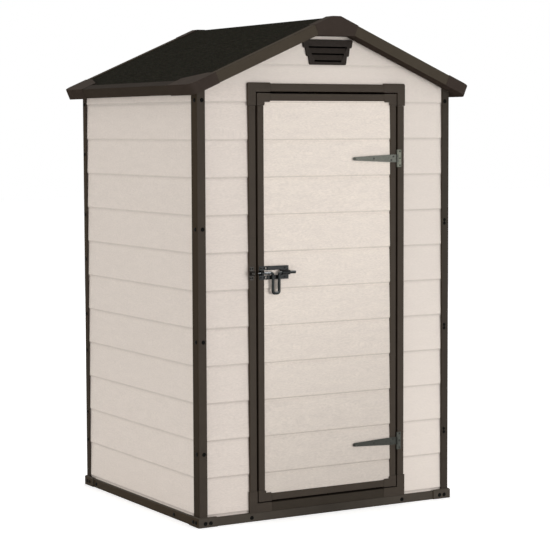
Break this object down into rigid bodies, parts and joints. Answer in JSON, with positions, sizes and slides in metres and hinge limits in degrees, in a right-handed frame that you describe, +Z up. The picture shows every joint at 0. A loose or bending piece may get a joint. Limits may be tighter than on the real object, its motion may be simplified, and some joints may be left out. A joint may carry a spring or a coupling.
{
  "type": "plastic tool shed",
  "caption": "Small resin tool shed with plank-look walls, dark trims, a gable roof with a louvred vent, and one hinged door with a pad bolt.",
  "frame": {"origin": "on the ground under the middle of the shed", "axes": "+X to the right across the front, +Y from the door towards the back, +Z up; the door faces -Y"},
  "size_m": [1.2766, 1.172, 1.9529],
  "materials": {
    "wall_resin": "beige resin with a light wood grain",
    "trim_resin": "dark brown satin resin",
    "roof_resin": "near-black resin with a wood grain",
    "vent_resin": "dark brown matt resin",
    "zinc_steel": "dull zinc plate",
    "latch_steel": "dark grey powder coat"
  },
  "bodies": {
    "shed": {"floor_tray": "trim_resin", "corner_boots": "trim_resin", "post_front_left": "trim_resin", "post_front_right": "trim_resin", "post_back_left": "trim_resin", "post_back_right": "trim_resin", "left_wall": "wall_resin", "right_wall": "wall_resin", "back_wall": "wall_resin", "front_wall_left": "wall_resin", "front_wall_right": "wall_resin", "front_gable": "wall_resin", "gable_vent": "vent_resin", "frame_jamb_left": "trim_resin", "frame_jamb_right": "trim_resin", "frame_head": "trim_resin", "frame_sill": "trim_resin", "frame_elbows": "trim_resin", "hinge_plate_top": "zinc_steel", "hinge_plate_bottom": "zinc_steel", "hinge_pins": "zinc_steel", "bolt_keeper": "latch_steel", "roof_panel_left": "roof_resin", "roof_panel_right": "roof_resin", "rake_front_left": "trim_resin", "rake_front_right": "trim_resin", "rake_back_left": "trim_resin", "rake_back_right": "trim_resin", "eave_left": "trim_resin", "eave_right": "trim_resin", "roof_corner_caps": "trim_resin", "ridge_cap_front": "trim_resin", "ridge_cap_back": "trim_resin"},
    "door": {"door_panel": "wall_resin", "door_stile_left": "trim_resin", "door_stile_right": "trim_resin", "door_rail_top": "trim_resin", "door_rail_bottom": "trim_resin", "door_elbows": "trim_resin", "hinge_strap_top": "zinc_steel", "hinge_strap_bottom": "zinc_steel", "latch_plate": "latch_steel"},
    "bolt": {"bolt_pin": "latch_steel"},
    "bow": {"bolt_bow": "latch_steel"}
  },
  "joints": [
    {"name": "door_swing", "type": "hinge", "parent": "shed", "child": "door", "pos_m": [0.3225, -0.526, 0.83], "axis": [0, 0, 1], "range_deg": [0, 120]},
    {"name": "bolt_slide", "type": "slide", "parent": "door", "child": "bolt", "axis": [-1, 0, 0], "range_m": [0, 0.028]},
    {"name": "bow_turn", "type": "hinge", "parent": "bolt", "child": "bow", "pos_m": [-0.24625, -0.534, 0.966], "axis": [-1, 0, 0], "range_deg": [0, 170]}
  ]
}
